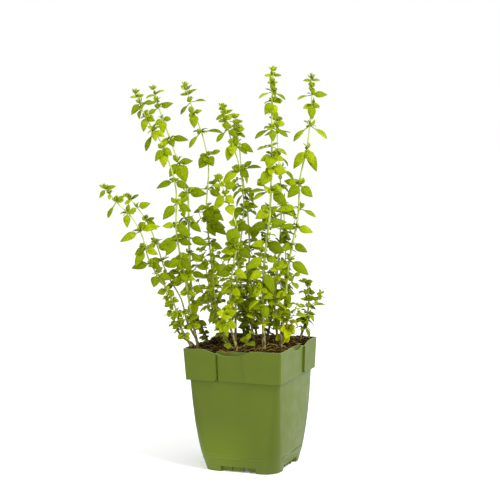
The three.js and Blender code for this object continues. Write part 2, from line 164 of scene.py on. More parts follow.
SHOOTS = {
    "far_left_shoot": Shoot(
        foot=(-62, -26), turn=40, radius=1, size=1, bushy=0.15,
        path=[(-72, -24, 150), (-77, -26, 171), (-87, -28, 194), (-102, -31, 220), (-109, -33, 247),
              (-118, -35, 265), (-133, -37, 281), (-146, -38, 298)],
        pairs=[301, 295, 290, 282, 271, 251, 234, 218, 207, 190, 178, 166, 154, 143],
        seen={295: [(-6, -8, 3, 4), (10, 3, 2, 4)], 290: [(0, -5, 4, 4)],
              282: [(-8, -15, 3, 4), (9, 6, 2, 4), (8, 2, 3, 4)], 271: [(0, -14, 5, 7), (2, 8, 2, 4)],
              251: [(-19, -9, 3, 7), (19, 5, 2, 6)],
              234: [(-10, -6, 4, 7), (-10, -17, 5, 8), (12, -6, 4, 7)],
              218: [(-18, -4, 3, 7), (10, -4, 4, 7)], 207: [(-3, -12, 6, 9), (14, -5, 4, 7)],
              190: [(-11, -3, 4, 8), (8, -6, 4, 7)], 178: [(-9, -2, 3, 5), (6, 2, 3, 4)],
              166: [(-9, -3, 3, 5), (6, -4, 4, 5)], 154: [(-8, -5, 3, 5), (6, -2, 3, 4)],
              143: [(-7, -4, 4, 6), (6, -5, 4, 5)]}),
    "left_inner_shoot": Shoot(
        foot=(-55, -9), turn=20, size=0.9, bushy=0.1,
        path=[(-66, -6, 153), (-72, -4, 177), (-87, -2, 205), (-97, 0, 236), (-107, 2, 260),
              (-126, 4, 286)],
        pairs=[288, 281, 273, 259, 235, 217, 203, 192, 163],
        seen={281: [(8, 5, 1, 3), (-6, -4, 3, 4)], 273: [(13, 4, 2, 7), (-8, -6, 4, 5)],
              259: [(8, 3, 2, 4), (10, -8, 5, 8), (-9, -9, 4, 7)], 235: [(-9, -4, 4, 5), (14, -6, 4, 7)],
              217: [(-14, 0, 4, 8), (13, -6, 4, 7)], 203: [(11, -5, 5, 7), (-13, -7, 5, 8)],
              192: [(11, 3, 4, 5), (-10, -4, 5, 6)]}),
    "left_tall_shoot": Shoot(
        foot=(-55, -26), turn=10, radius=1.1, size=1, bushy=0.4,
        path=[(-61, -25, 163), (-66, -26, 200), (-74, -27, 247), (-74, -28, 296), (-87, -29, 340),
              (-102, -30, 366), (-112, -30, 393)],
        pairs=[394, 387, 381, 375, 367, 353, 335, 301, 279, 257, 242, 223, 204, 187, 154],
        seen={387: [(-7, 0, 2, 3), (6, 2, 2, 3)], 381: [(13, 0, 2, 5), (-8, -11, 4, 6)],
              367: [(-2, -14, 5, 6), (9, -4, 3, 6)], 353: [(-8, -19, 4, 5), (2, -10, 8, 6), (10, -6, 4, 6)],
              335: [(-8, -12, 5, 7), (0, -18, 6, 9), (8, -7, 5, 6)], 301: [(-17, -6, 3, 6), (14, -6, 4, 7)],
              279: [(-13, -15, 5, 9), (14, -8, 4, 7)], 257: [(-13, -1, 4, 6), (13, -10, 5, 8)],
              242: [(-16, -4, 3, 7), (-11, -15, 6, 8), (14, -5, 4, 7)],
              223: [(-12, -9, 5, 8), (10, -12, 7, 9)], 204: [(-13, -6, 4, 8), (12, -4, 5, 7)],
              187: [(-8, -2, 4, 6), (10, -3, 4, 6)], 154: [(-7, -5, 4, 6), (8, -4, 4, 6)]}),
    "left_tall_rear_shoot": Shoot(
        foot=(-46, 2), turn=70, radius=1.3, size=1.05, bushy=0.3, sprouts=True,
        path=[(-59, 4, 164), (-62, 5, 196), (-63, 7, 242), (-64, 9, 290), (-78, 11, 336), (-92, 13, 378),
              (-97, 14, 397)],
        pairs=[396, 389, 383, 376, 364, 344, 319, 287, 258, 240, 223, 203, 188, 174, 153],
        seen={389: [(-9, -3, 1, 2), (9, 4, 1, 2)], 383: [(-6, -3, 3, 3), (3, -1, 4, 3)],
              376: [(14, 4, 2, 6), (-10, -6, 3, 5)], 364: [(8, 0, 3, 5), (-8, -6, 4, 5), (0, -14, 6, 8)],
              344: [(18, -2, 3, 6), (4, -8, 8, 7), (-10, -8, 4, 6)],
              319: [(14, 1, 2, 6), (-9, -14, 5, 8), (7, -19, 6, 12)],
              287: [(-9, -3, 4, 6), (19, -1, 4, 8), (-6, -10, 5, 7)],
              258: [(-10, -6, 4, 6), (12, -11, 5, 7)], 240: [(-20, -2, 3, 6), (19, -7, 4, 8)],
              223: [(-14, -4, 3, 7), (13, -7, 4, 7), (-12, -15, 6, 13)],
              203: [(17, -3, 4, 8), (-9, -10, 6, 9)], 188: [(14, -4, 4, 8), (-10, -4, 5, 7)],
              174: [(2, -17, 8, 12), (12, -5, 4, 7)], 153: [(-8, -3, 4, 6), (10, -5, 4, 7)]}),
    "slender_shoot": Shoot(
        foot=(-32, 30), turn=100, radius=1, size=0.95, bushy=0.6,
        path=[(-38, 31, 171), (-41, 34, 213), (-45, 38, 267), (-42, 41, 314), (-48, 43, 347),
              (-57, 45, 372), (-65, 46, 400)],
        pairs=[399, 394, 389, 381, 370, 350, 324, 289, 270, 254, 231, 210, 190, 171, 153],
        seen={389: [(-8, 0, 1, 3), (9, 5, 1, 2)], 381: [(15, 1, 1, 3), (-10, -12, 3, 4)],
              370: [(0, -15, 6, 9), (8, 2, 3, 4), (-5, -4, 4, 4)], 350: [(21, -2, 2, 4), (-12, -16, 3, 5)],
              324: [(-8, -12, 5, 10), (6, -10, 7, 10), (13, 5, 3, 5), (-3, -5, 6, 6)],
              289: [(-20, -2, 2, 5), (14, -8, 4, 7)],
              270: [(-9, -2, 4, 5), (4, -14, 6, 11), (14, -5, 5, 7), (17, -14, 5, 8)],
              254: [(18, -6, 5, 9), (12, 2, 5, 8), (8, -14, 5, 9), (19, -13, 5, 8)],
              231: [(-10, -8, 4, 4), (13, -5, 4, 7)], 210: [(-14, -3, 3, 6), (12, -8, 5, 8)]}),
    "centre_left_shoot": Shoot(
        foot=(-16, -10), turn=30, radius=1, size=0.95, bark=0.55,
        path=[(-15, -11, 176), (-10, -12, 228), (-5, -13, 275), (-8, -14, 311), (-19, -14, 350),
              (-25, -14, 377)],
        pairs=[376, 372, 368, 362, 353, 338, 311, 290, 273, 255, 234, 216, 196, 176, 158],
        seen={368: [(-8, -5, 2, 4), (8, 4, 2, 3)], 362: [(-7, -1, 3, 4), (1, -8, 5, 5)],
              353: [(-11, -12, 3, 5), (9, -8, 4, 6)],
              338: [(-5, -16, 5, 9), (0, -11, 7, 8), (14, -10, 4, 5)],
              311: [(-8, 3, 2, 5), (-17, -13, 3, 6), (20, 2, 2, 4), (11, 8, 2, 5), (8, -7, 6, 8)]}),
    "centre_rear_shoot": Shoot(
        foot=(-4, 26), turn=120, radius=1, size=0.95, sprouts=True, arms=[(238, 0, 28), (222, 15, 24)],
        path=[(-4, 27, 171), (0, 29, 224), (-2, 31, 272), (-7, 33, 309), (-9, 33, 336), (-14, 34, 366)],
        pairs=[367, 363, 357, 352, 347, 337, 309, 285, 264, 244, 225, 205, 183, 163, 148],
        seen={352: [(8, 0, 3, 6), (-7, -3, 3, 4)], 347: [(-5, -1, 3, 4), (4, -1, 3, 4)],
              337: [(14, -9, 4, 7), (-12, -8, 4, 7)]}),
    "tallest_shoot": Shoot(
        foot=(13, -27), turn=0, radius=1.3, size=1, bark=0.95,
        path=[(13, -27, 147), (13, -28, 178), (15, -30, 217), (21, -31, 263), (24, -32, 315),
              (25, -33, 363), (27, -33, 413)],
        pairs=[413, 406, 399, 390, 380, 369, 354, 335, 326, 313, 291, 271, 257, 238, 223, 209, 192, 175,
               154],
        seen={406: [(-8, 0, 2, 3), (8, 0, 2, 3)],
              399: [(-5, 0, 4, 3), (5, 0, 4, 3), (0, -6, 5, 5), (2, -13, 4, 4)],
              390: [(-13, -6, 2, 3), (12, -8, 2, 3)],
              380: [(-7, -12, 6, 8), (2, -15, 8, 8), (10, 1, -4, 5)],
              354: [(-16, -10, 3, 5), (15, -9, 3, 5), (1, -13, 7, 7)],
              335: [(-14, -3, 2, 3), (14, -8, 3, 4)],
              326: [(-11, -5, 4, 6), (11, -5, 4, 5), (-4, -12, 7, 10)],
              313: [(-10, -16, 5, 11), (14, -4, 5, 9), (-1, -6, 8, 6)],
              291: [(-21, -3, 4, 4), (9, -2, 6, 6), (15, -15, 6, 10), (-17, -9, 4, 5)],
              271: [(-8, 0, 5, 5), (-14, -8, 6, 9)], 257: [(-19, -6, 5, 9), (17, 1, 4, 6)],
              238: [(16, -10, 7, 10), (-15, -3, 4, 7)], 223: [(-18, -11, 5, 9), (12, -5, 6, 7)],
              209: [(9, -22, 6, 9), (-14, -8, 6, 8)], 192: [(-12, -9, 6, 9), (12, -10, 6, 8)],
              175: [(4, -18, 8, 9), (-12, -6, 5, 8)]}),
    "tallest_rear_shoot": Shoot(
        foot=(17, 6), turn=60, size=1.05, sprouts=True, arms=[(240, 0, 26), (256, 180, 24)],
        path=[(25, 5, 173), (31, 3, 226), (34, 1, 273), (33, -1, 304), (31, -3, 335), (30, -4, 364)],
        pairs=[364, 360, 354, 347, 325, 310, 291, 273, 253, 233, 213, 192, 171, 153]),
    "right_tall_shoot": Shoot(
        foot=(31, -14), turn=90, radius=1.2, size=1.05, bushy=0.6, bark=0.75,
        path=[(32, -13, 144), (36, -10, 175), (42, -6, 220), (51, -2, 260), (54, 0, 301), (62, 1, 335),
              (67, 2, 382), (67, 2, 406)],
        pairs=[407, 401, 394, 386, 376, 355, 330, 294, 270, 250, 233, 216, 200, 183, 167, 152],
        seen={401: [(-8, 0, 2, 3), (8, 0, 2, 3)], 394: [(1, -6, 5, 5), (-3, -2, 5, 4)],
              386: [(-14, -4, 2, 3), (15, 0, 2, 6)], 376: [(-8, -3, 4, 5), (8, -2, 4, 5), (0, -14, 7, 8)],
              355: [(-16, -15, 3, 5), (16, -13, 3, 5)],
              330: [(-13, -18, 5, 8), (9, -21, 5, 8), (6, -14, 9, 8)],
              294: [(-15, 4, 3, 8), (-12, -12, 6, 9), (12, -12, 6, 9)],
              270: [(-22, -2, 4, 6), (16, -9, 3, 5)], 250: [(-15, 1, 3, 6), (16, -5, 4, 7)],
              233: [(14, -8, 5, 8), (-12, -6, 5, 7)], 216: [(18, -14, 5, 9), (-13, -8, 5, 8)],
              183: [(4, -13, 6, 8), (-12, -5, 5, 8)], 167: [(6, -12, 7, 9), (-10, -8, 6, 8)]}),
    "front_centre_shoot": Shoot(
        foot=(-15, -36), turn=5, radius=1, size=1.05, forks=2, bark=0.6,
        path=[(-21, -38, 154), (-21, -42, 181), (-17, -46, 214), (-11, -49, 244), (-14, -50, 261),
              (-22, -51, 285), (-30, -52, 307)],
        pairs=[305, 297, 288, 279, 257, 233, 213, 193, 174],
        seen={305: [(-4, 2, 2, 5), (4, 2, 2, 5)], 297: [(-9, 1, 3, 4), (14, 1, 3, 8)],
              288: [(-10, -8, 4, 7), (8, -8, 5, 7), (-11, -14, 5, 7)], 279: [(3, -10, 8, 13)],
              257: [(-6, -19, 6, 12), (13, -2, 4, 8)], 233: [(-15, -2, 4, 8), (14, -8, 4, 8)],
              213: [(-16, -5, 5, 12), (13, -9, 5, 8)], 193: [(-11, -5, 4, 7), (11, -8, 5, 8)],
              174: [(-9, -5, 4, 6), (8, -6, 5, 6)]}),
    "right_rear_shoot": Shoot(
        foot=(38, 14), turn=15, radius=0.8, size=0.75, bushy=0.4,
        path=[(38, 16, 160), (38, 20, 192), (38, 25, 234), (37, 26, 261), (35, 26, 282), (33, 26, 305)],
        pairs=[305, 298, 289, 278, 262, 244, 224, 205, 186]),
    "right_bushy_shoot": Shoot(
        foot=(53, 24), turn=35, size=0.75, bushy=0.35, tint=-0.3, sprouts=True,
        path=[(58, 27, 144), (62, 30, 163), (62, 32, 181), (57, 32, 190)],
        pairs=[189, 183, 177, 168, 162, 155, 148, 140],
        seen={189: [(9, 2, 3, 6), (-8, 3, 3, 3)], 177: [(-7, 1, 4, 6), (7, 0, 4, 6)],
              168: [(10, 4, 2, 3), (-10, 3, 2, 3)], 162: [(-13, 2, 3, 5), (19, 2, 2, 3)]}),
    "centre_left_sprig": Shoot(
        foot=(-27, -8), turn=50, radius=0.8, size=0.55, bushy=0.4,
        path=[(-31, -9, 139), (-35, -10, 164), (-38, -12, 198), (-38, -12, 229)],
        pairs=[228, 221, 214, 204, 191, 179, 166, 154, 144]),
    "centre_rear_sprig": Shoot(
        foot=(-8, 40), turn=0, size=0.65, sprouts=True,
        path=[(-7, 46, 144), (-8, 48, 168), (-12, 52, 202), (-17, 54, 230)],
        pairs=[229, 223, 214, 203, 190, 176, 163, 152]),
    "centre_right_sprig": Shoot(
        foot=(3, -6), turn=75, size=0.85,
        path=[(1, -4, 148), (1, 0, 174), (5, 3, 199), (13, 6, 226)],
        pairs=[226, 219, 209, 198, 186, 173, 161, 150]),
    "low_left_sprig": Shoot(
        foot=(-59, -19), turn=25, radius=0.8, size=0.55, bushy=0.2,
        path=[(-73, -11, 140), (-80, -10, 156), (-85, -9, 177), (-90, -8, 195)],
        pairs=[194, 186, 178, 170, 160, 151]),
    "low_centre_sprig": Shoot(
        foot=(-22, -24), turn=0, radius=0.8, bark=0.8, tint=0.4,
        path=[(-27, -32, 142), (-26, -40, 158), (-22, -46, 174)],
        pairs=[173, 166, 158, 148],
        seen={166: [(-11, 3, 6, 9), (11, 4, 6, 10), (1, 7, 5, 7), (0, -6, 9, 9)],
              158: [(-11, -5, 6, 10), (13, -6, 6, 10), (1, -12, 9, 10), (-6, -11, 8, 9)]}),
    "low_right_sprig": Shoot(
        foot=(25, -4), turn=65, radius=0.8, size=0.75, bushy=0.3, tint=0.9, sprouts=True,
        path=[(32, -5, 137), (39, -10, 145), (43, -15, 153)],
        pairs=[152, 146, 139],
        seen={146: [(-10, -2, 6, 9), (6, -6, 6, 9), (-4, -12, 9, 10), (7, 2, 5, 7)],
              139: [(-9, -7, 6, 9), (5, -9, 6, 10), (-2, -11, 9, 10)]}),
    "rear_left_sprig": Shoot(
        foot=(-30, 44), turn=45, bushy=0.7, sprouts=True,
        path=[(-40, 54, 151), (-44, 60, 178), (-49, 66, 208)],
        pairs=[207, 199, 190, 178, 165, 152]),
    "rear_right_sprig": Shoot(
        foot=(28, 36), turn=20, sprouts=True,
        path=[(26, 46, 162), (29, 52, 188), (28, 58, 218)],
        pairs=[217, 210, 199, 187, 175, 162, 151]),
    "rear_sprig": Shoot(
        foot=(6, 44), turn=80, sprouts=True,
        path=[(2, 62, 155), (4, 68, 181), (3, 74, 206)],
        pairs=[205, 197, 188, 176, 163, 151]),
}


# ---------- settings ----------
class PotSettings(bpy.types.PropertyGroup):
    green: FloatVectorProperty(
        name="Plastic green", description="Colour of the moulded plastic", subtype="COLOR",
        size=3, min=0, max=1, default=(0.0635, 0.093, 0.002))
    edge: FloatProperty(
        name="Edge rounding", description="Radius on the moulded edges", subtype="DISTANCE",
        unit="LENGTH", default=0.35 * MM, min=0, max=2 * MM)


class MixSettings(bpy.types.PropertyGroup):
    brown: FloatVectorProperty(
        name="Mix brown", description="Main colour of the damp peat", subtype="COLOR",
        size=3, min=0, max=1, default=(0.007, 0.0035, 0.0008))
    lumps: FloatProperty(
        name="Lump height", description="Height of the largest lumps", subtype="DISTANCE",
        unit="LENGTH", default=5 * MM, min=0, max=10 * MM)
    fibres: IntProperty(
        name="Coir fibres", description="How many strands lie on the mix", default=360, min=1, max=600)
    crumbs: IntProperty(
        name="Bark crumbs", description="How many crumbs lie on the mix", default=420, min=1, max=900)


class ShootSettings(bpy.types.PropertyGroup):
    leaf_green: FloatVectorProperty(
        name="Leaf green", description="Colour of a full-grown leaf", subtype="COLOR",
        size=3, min=0, max=1, default=(0.129, 0.184, 0.002))
    young_green: FloatVectorProperty(
        name="Young leaf green", description="Colour of the buds and young leaves", subtype="COLOR",
        size=3, min=0, max=1, default=(0.270, 0.330, 0.004))
    stem_green: FloatVectorProperty(
        name="Stem green", description="Colour of the green part of a stem", subtype="COLOR",
        size=3, min=0, max=1, default=(0.37, 0.43, 0.11))
    leaf_size: FloatProperty(
        name="Leaf size", description="Scale of every leaf", default=1, min=0.5, max=1.5)


# ---------- modelling helpers ----------
def deselect():
    if bpy.context.object and bpy.context.object.mode != "OBJECT":
        bpy.ops.object.mode_set(mode="OBJECT")
    bpy.ops.object.select_all(action="DESELECT")


def activate(piece):
    deselect()
    piece.select_set(True)
    bpy.context.view_layer.objects.active = piece


def remove(piece):
    bpy.data.objects.remove(piece)


def added(name):
    """The object that was just added, with its name."""
    piece = bpy.context.object
    piece.name = name
    return piece


def edit_all(piece):
    """Goes to edit mode on a piece with everything selected."""
    activate(piece)
    bpy.ops.object.mode_set(mode="EDIT")
    bpy.ops.mesh.select_all(action="SELECT")


def face_outwards():
    """Turns all faces of the piece in edit mode outwards, and leaves edit mode."""
    bpy.ops.mesh.select_all(action="SELECT")
    bpy.ops.mesh.normals_make_consistent(inside=False)
    bpy.ops.object.mode_set(mode="OBJECT")


def pick(piece, chosen):
    """Goes to edit mode on a piece with only the chosen vertices selected."""
    activate(piece)
    mesh = piece.data
    for items in (mesh.vertices, mesh.edges, mesh.polygons):
        items.foreach_set("select", [False] * len(items))
    for index in chosen:
        mesh.vertices[index].select = True
    bpy.ops.object.mode_set(mode="EDIT")
    bpy.ops.mesh.select_mode(type="VERT")


def pick_border(piece):
    """Goes to edit mode on a piece with only its open edge selected."""
    pick(piece, ())
    bpy.ops.mesh.select_non_manifold()


def apply_modifier(piece, kind, **settings):
    activate(piece)
    modifier = piece.modifiers.new(kind.title(), kind)
    for key, value in settings.items():
        setattr(modifier, key, value)
    bpy.ops.object.modifier_apply(modifier=modifier.name)


def settle(piece):
    """Puts the piece's place, turn and scale into its mesh."""
    activate(piece)
    bpy.ops.object.transform_apply(location=True, rotation=True, scale=True)


def join(pieces, name):
    deselect()
    for piece in pieces:
        piece.select_set(True)
    bpy.context.view_layer.objects.active = pieces[0]
    if len(pieces) > 1:
        bpy.ops.object.join()
    pieces[0].name = name
    pieces[0].data.name = name
    return pieces[0]


def shade_smooth(piece, angle=None):
    activate(piece)
    if angle is None:
        bpy.ops.object.shade_smooth()
    else:
        bpy.ops.object.shade_smooth_by_angle(angle=angle)


def cut_sides(piece, size, across, out, up, lean=0):
    """Cuts a bar out of each of the four sides of a piece, each mirrored from the one before.

    across, out and up place the middle of the first bar, in millimetres."""
    for turn in range(4):
        deselect()
        bpy.ops.mesh.primitive_cube_add(size=1)
        bar = added("bar")
        bpy.ops.transform.resize(value=Vector(size) * MM)
        settle(bar)
        place = Matrix.Translation(Vector((across * (-1) ** turn, -out, up)) * MM)
        quarter_turns = Matrix.Rotation(math.pi / 2 * turn, 4, "Z")
        bar.data.transform(quarter_turns @ place @ Matrix.Rotation(lean, 4, "X"))
        apply_modifier(piece, "BOOLEAN", object=bar, operation="DIFFERENCE", solver="EXACT")
        remove(bar)


def mark(piece, name, domain, values):
    """Writes a number on every point or face of a piece, for its finish to read."""
    piece.data.attributes.new(name, "FLOAT", domain).data.foreach_set("value", values)


def dress(piece, material):
    piece.data.materials.clear()
    piece.data.materials.append(material)


def finish_piece(piece, material, slot, *nodes):
    """Dresses the piece, lets it ride on the pot's body and stand for CAD nodes."""
    dress(piece, material)
    settle(piece)
    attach(piece, "root")
    if nodes:
        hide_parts(*nodes)


def turned(x, y, z):
    """A point on the shoots' axes in millimetres, as metres on the pot's own axes."""
    place = Vector((x, y, z)) * MM
    place.rotate(Matrix.Rotation(PLANT_TURN, 3, "Z"))
    return place


def level(heading):
    """A level way of length one."""
    return Vector((math.cos(heading), math.sin(heading), 0))


def clamp(value, low, high):
    return max(low, min(high, value))


def fade(height, bottom, top):
    """From one at the bottom, and below it, down to nothing at the top."""
    return clamp((top - height) / (top - bottom), 0, 1)


def aimed(root, reach, face, width, depth):
    """The place of a model that lies along +Y, with its root, its reach and the way its top faces."""
    along = reach.normalized()
    side = along.cross(face).normalized()
    upper = side.cross(along)
    axes = Matrix((side * width, reach, upper * depth)).transposed()
    return Matrix.Translation(root) @ axes.to_4x4()


def copy_at(model, place, tone):
    """Copies a model with a mesh of its own, at its place, with one tone all over."""
    mesh = model.data.copy()
    mesh.transform(place)
    values = mesh.attributes["tone"].data
    values.foreach_set("value", [tone] * len(values))
    piece = bpy.data.objects.new(model.name + "_copy", mesh)
    bpy.context.collection.objects.link(piece)
    return piece


# ---------- shader helpers ----------
class Wire:
    """A node's output. Python's operators on it add Math nodes."""

    def __init__(self, finish, socket):
        self.finish = finish
        self.socket = socket

    def math(self, operation, *others):
        operands = dict(enumerate((self, *others)))
        return self.finish.node("ShaderNodeMath", {"operation": operation}, operands)[0]

    def __add__(self, other):
        return self.math("ADD", other)

    def __sub__(self, other):
        return self.math("SUBTRACT", other)

    def __rsub__(self, other):
        return self * -1 + other

    def __mul__(self, other):
        return self.math("MULTIPLY", other)

    def __abs__(self):
        return self.math("ABSOLUTE")

    __radd__ = __add__
    __rmul__ = __mul__


class Finish:
    """One material, drawn node by node."""

    def __init__(self, name):
        self.material = bpy.data.materials.new(name)
        self.material.use_nodes = True
        self.tree = self.material.node_tree
        self.tree.nodes.clear()

    def node(self, kind, settings, inputs):
        """Adds a node with its settings first, then its inputs; returns its outputs as wires."""
        made = self.tree.nodes.new(kind)
        for key, value in settings.items():
            setattr(made, key, value)
        for key, value in inputs.items():
            if isinstance(value, Wire):
                self.tree.links.new(value.socket, made.inputs[key])
            else:
                made.inputs[key].default_value = value
        shown = [Wire(self, socket) for socket in made.outputs if socket.enabled]
        return {**dict(enumerate(shown)), **{wire.socket.name: wire for wire in shown}}

    def place(self, stretch=(1, 1, 1)):
        where = self.node("ShaderNodeTexCoord", {}, {})["Object"]
        return self.node("ShaderNodeMapping", {}, {"Vector": where, "Scale": stretch})["Vector"]

    def split(self, vector):
        return self.node("ShaderNodeSeparateXYZ", {}, {"Vector": vector})

    def height(self):
        return self.split(self.place())["Z"]

    def noise(self, scale, detail=3, roughness=0.55, stretch=(1, 1, 1)):
        inputs = {"Vector": self.place(stretch), "Scale": scale, "Detail": detail, "Roughness": roughness}
        return self.node("ShaderNodeTexNoise", {}, inputs)["Fac"]

    def remap(self, value, low, high, to_low=0.0, to_high=1.0):
        inputs = {0: value, 1: low, 2: high, 3: to_low, 4: to_high}
        return self.node("ShaderNodeMapRange", {"interpolation_type": "SMOOTHSTEP"}, inputs)[0]

    def mix(self, factor, first, second):
        colours = [value if isinstance(value, Wire) else (*value, 1) for value in (first, second)]
        inputs = {0: factor, 6: colours[0], 7: colours[1]}
        return self.node("ShaderNodeMix", {"data_type": "RGBA"}, inputs)["Result"]

    def paint(self, colour, *coats):
        """Lays coats over a colour, each given as a share and a colour."""
        for share, coat in coats:
            colour = self.mix(share, colour, coat)
        return colour

    def bump(self, height, strength, distance):
        inputs = {"Height": height, "Strength": strength, "Distance": distance}
        return self.node("ShaderNodeBump", {}, inputs)["Normal"]

    def attribute(self, name):
        return self.node("ShaderNodeAttribute", {"attribute_name": name}, {})["Fac"]

    def surface(self, **inputs):
        """Adds the surface shader. Its socket names have underscores for spaces."""
        named = {key.replace("_", " "): value for key, value in inputs.items()}
        shader = self.node("ShaderNodeBsdfPrincipled", {}, named)["BSDF"]
        self.node("ShaderNodeOutputMaterial", {}, {"Surface": shader})
        return self.material


def scaled(colour, share):
    return tuple(channel * share for channel in colour)


# ---------- finishes ----------
def leaf_finish(settings):
    finish = Finish("oregano_leaf")
    tone = finish.attribute("tone")
    under = finish.attribute("under")
    split = finish.split(finish.node("ShaderNodeUVMap", {"uv_map": "UVMap"}, {})["UV"])
    across = abs(split["X"] - 0.5)
    # Side veins leave the midrib at a slant, towards the tip.
    slant = (split["Y"] - across * 0.55) * 38
    side_vein = finish.remap(slant.math("SINE"), 0.70, 1.0)
    midrib = finish.remap(across, 0.045, 0.0)
    vein = midrib.math("MAXIMUM", side_vein * 0.35)
    cloud = finish.noise(260, 3)
    fine = finish.noise(1500, 2)
    green, young = settings.leaf_green, settings.young_green
    sunlit_yellow, vein_green = (0.50, 0.44, 0.006), (0.30, 0.38, 0.03)
    under_green, low_green = (0.19, 0.25, 0.04), (0.24, 0.29, 0.001)
    # The tone paints a leaf's light and shade along with its age: low tones are painted shade, middle ones
    # run from grown to young green, and tones over 1 are painted sunlight.
    colour = finish.paint(
        scaled(green, 0.42),
        (finish.remap(tone, 0.0, 0.5), green),
        (finish.remap(tone, 0.5, 1.0), young),
        (finish.remap(tone, 1.0, 1.25), scaled(young, 1.35)),
        (finish.remap(tone, 1.3, 1.5), sunlit_yellow),
        (finish.remap(cloud, 0.35, 0.75) * 0.45, scaled(green, 0.55)),
        (vein * 0.2, vein_green),
        (under * 0.35, under_green),
        (finish.remap(finish.height(), 0.27, 0.16) * 0.2, low_green))
    return finish.surface(
        Base_Color=colour, Roughness=finish.remap(cloud, 0.3, 0.8, 0.5, 0.66),
        Normal=finish.bump(fine * 0.15 - vein * 0.7 + cloud * 0.4, 0.5, 0.3 * MM),
        Specular_IOR_Level=0.08, Specular_Tint=(0.8, 1.0, 0.15, 1), Subsurface_Weight=0.4,
        Subsurface_Radius=(1.0, 1.0, 0.1), Subsurface_Scale=1.5 * MM)


def stem_finish(settings):
    finish = Finish("oregano_stem")
    bark = finish.noise(900, 3, stretch=(1, 1, 0.25))
    patch = finish.noise(140, 2)
    dark_bark, pale_bark, crack = (0.10, 0.08, 0.025), (0.36, 0.30, 0.13), (0.045, 0.032, 0.010)
    low_green, patch_green = (0.25, 0.28, 0.06), (0.26, 0.32, 0.03)
    ridge = finish.mix(finish.attribute("bark"), dark_bark, pale_bark)
    wood = finish.mix(finish.remap(bark, 0.42, 0.6), crack, ridge)
    colour = finish.paint(
        settings.stem_green,
        (finish.remap(finish.height(), 0.26, 0.17), low_green),
        (finish.remap(finish.height() + patch * 0.03, 0.192, 0.160), wood),
        (finish.remap(patch, 0.45, 0.7) * 0.35, patch_green))
    return finish.surface(
        Base_Color=colour, Roughness=finish.remap(bark, 0.3, 0.7, 0.55, 0.75),
        Specular_IOR_Level=0.15, Normal=finish.bump(bark, 0.7, 0.4 * MM))


def pot_finish(settings):
    finish = Finish("pot_plastic")
    mottle = finish.noise(70, 4, 0.6)
    streak = finish.noise(60, 3, stretch=(1, 1, 0.15))
    grain = finish.noise(1400, 2)
    green = settings.green
    # The second of these colours is the painted highlight on the top of the rim and the moulded lines.
    dust_grey, highlight_green = (0.13, 0.15, 0.05), (0.26, 0.34, 0.13)
    split = finish.split(finish.place())
    across, up = abs(split["X"]), split["Z"]
    inward = across.math("MINIMUM", abs(split["Y"])) - up * 0.16
    # Painted shade darkens the body's vertical corners below the band.
    corner = finish.remap(inward, 0.027, 0.0345) * finish.remap(up, 0.097, 0.092)
    # Painted light brightens the lower body towards its -x side.
    foot = finish.remap(up, 0.065, 0.01) * finish.remap(split["X"], 0.03, -0.02)
    colour = finish.paint(
        green,
        (finish.remap(mottle, 0.3, 0.7), scaled(green, 1.07)),
        (finish.remap(streak, 0.5, 0.75) * 0.2, scaled(green, 0.9)),
        (corner * 0.5, scaled(green, 0.7)),
        (foot, scaled(green, 1.45)),
        (finish.remap(up + mottle * 0.02, 0.035, 0.0) * 0.2, dust_grey),
        # Painted highlight on the top of the rim and on the moulded lines.
        (finish.attribute("painted_highlight") * 0.5, highlight_green),
        (finish.attribute("shaded") * 0.3, scaled(green, 0.2)))
    return finish.surface(
        Base_Color=colour, Roughness=finish.remap(mottle, 0.3, 0.7, 0.40, 0.52),
        Specular_IOR_Level=0.28, Specular_Tint=(0.95, 1.0, 0.7, 1),
        Normal=finish.bump(grain + mottle * 2, 0.12, 0.2 * MM))


def mix_finish(settings):
    finish = Finish("potting_mix_peat")
    clump = finish.noise(160, 5, 0.65)
    crumb = finish.noise(900, 4, 0.7)
    brown = settings.brown
    crumb_brown = (0.08, 0.045, 0.009)
    colour = finish.paint(
        brown,
        (finish.remap(clump, 0.42, 0.66), scaled(brown, 3)),
        (finish.remap(crumb, 0.58, 0.74), crumb_brown),
        (finish.remap(crumb, 0.44, 0.3), scaled(brown, 0.3)))
    return finish.surface(
        Base_Color=colour, Roughness=finish.remap(crumb, 0.3, 0.7, 0.85, 0.98),
        Specular_IOR_Level=0.04, Normal=finish.bump(crumb + clump * 2, 0.9, 0.8 * MM))


def strand_finish(name, dark, pale):
    finish = Finish(name)
    grain = finish.noise(700, 3)
    colour = finish.mix(finish.remap(finish.attribute("tone") + grain * 0.3, 0.15, 1.1), dark, pale)
    return finish.surface(
        Base_Color=colour, Roughness=finish.remap(grain, 0.3, 0.7, 0.7, 0.9),
        Specular_IOR_Level=0.03, Normal=finish.bump(grain, 0.5, 0.2 * MM))


def stage_finish():
    finish = Finish("stage_white")
    grain = finish.noise(3, 2)
    return finish.surface(
        Base_Color=finish.mix(grain, (0.90, 0.90, 0.90), (0.92, 0.92, 0.92)), Roughness=0.9,
        Specular_IOR_Level=0.0, Emission_Color=(1, 1, 1, 1), Emission_Strength=0.12)


